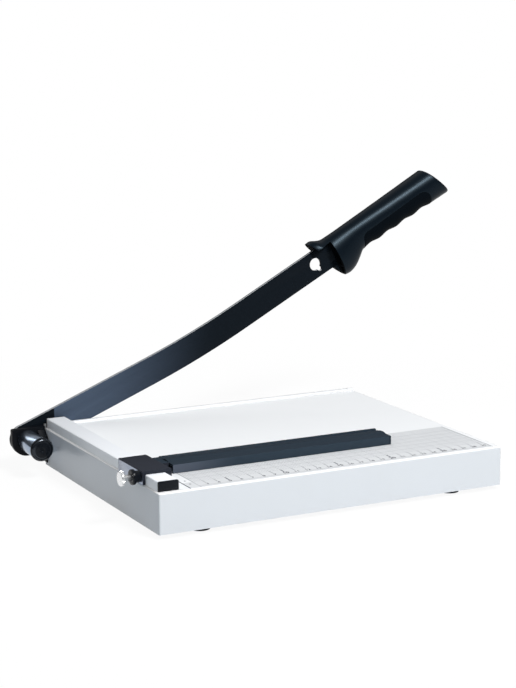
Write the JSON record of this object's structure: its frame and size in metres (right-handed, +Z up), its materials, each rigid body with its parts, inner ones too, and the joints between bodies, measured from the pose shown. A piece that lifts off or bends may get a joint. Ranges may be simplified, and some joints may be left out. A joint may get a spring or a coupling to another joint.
{
  "type": "manual paper cutter",
  "caption": "Desk paper cutter: folded steel table with a side fence, a sliding paper stop locked by a thumb screw, and a long swinging blade with a moulded handle.",
  "frame": {"origin": "on the desk, under the middle of the cutter's box with the blade standing open", "axes": "+X along the cutting edge from the pivot to the handle, +Y from the front wall to the cutting edge, +Z up"},
  "size_m": [0.4536, 0.2702, 0.2458],
  "materials": {
    "tray_paint": "satin light grey enamel",
    "rail_silver": "satin, clear anodised",
    "ground_steel": "ground",
    "fastener_steel": "zinc plated",
    "bright_steel": "nickel plated",
    "tube_chrome": "polished",
    "black_cast": "satin black",
    "blade_coat": "satin slate black",
    "handle_plastic": "satin moulded",
    "soft_grip": "soft matt",
    "black_plastic": "moulded",
    "slate_bar": "slate anodised, satin",
    "pad_plastic": "moulded",
    "foot_rubber": "matt"
  },
  "bodies": {
    "base": {"base_tray": "tray_paint", "rubber_feet": "foot_rubber", "foot_screws": "fastener_steel", "foot_nuts": "fastener_steel", "fence_rail": "rail_silver", "fence_cap_front": "black_plastic", "fence_cap_rear": "black_plastic", "fence_screws": "fastener_steel", "fixed_blade": "ground_steel", "fixed_blade_screws": "fastener_steel", "pivot_bracket": "black_cast", "bracket_screws": "fastener_steel", "stop_pin": "fastener_steel", "pivot_bolt": "fastener_steel", "blade_washer": "fastener_steel", "spring_tube": "tube_chrome", "tube_cap": "black_plastic", "pressure_spring": "fastener_steel", "thrust_washer": "fastener_steel", "lock_nut": "fastener_steel"},
    "blade_arm": {"cutter_blade": "blade_coat", "handle_near": "handle_plastic", "handle_far": "handle_plastic", "finger_grip": "soft_grip", "handle_screws": "fastener_steel"},
    "paper_stop": {"slider_saddle": "black_plastic", "stop_bar": "slate_bar", "stop_bar_plug": "black_plastic", "stop_bar_screws": "fastener_steel", "thumb_collar": "black_plastic"},
    "clamp_pad": {"thumb_pad": "pad_plastic"},
    "clamp_screw": {"thumb_screw": "bright_steel"}
  },
  "joints": [
    {"name": "blade_swing", "type": "hinge", "parent": "base", "child": "blade_arm", "pos_m": [-0.2131, 0.12068, 0.0279], "axis": [0, -1, 0], "range_deg": [-21.7, 50]},
    {"name": "stop_slide", "type": "slide", "parent": "base", "child": "paper_stop", "axis": [0, 1, 0], "range_m": [-0.02, 0.16]},
    {"name": "pad_slide", "type": "slide", "parent": "paper_stop", "child": "clamp_pad", "axis": [1, 0, 0], "range_m": [-0.0012, 0]},
    {"name": "screw_turn", "type": "hinge", "parent": "clamp_pad", "child": "clamp_screw", "pos_m": [-0.1958, -0.09957, 0.0435], "axis": [1, 0, 0], "range_deg": [-540, 0]}
  ],
  "couplings": [
    {"joint": "screw_turn", "follows": "pad_slide", "rad_per_m": 7853.9}
  ]
}
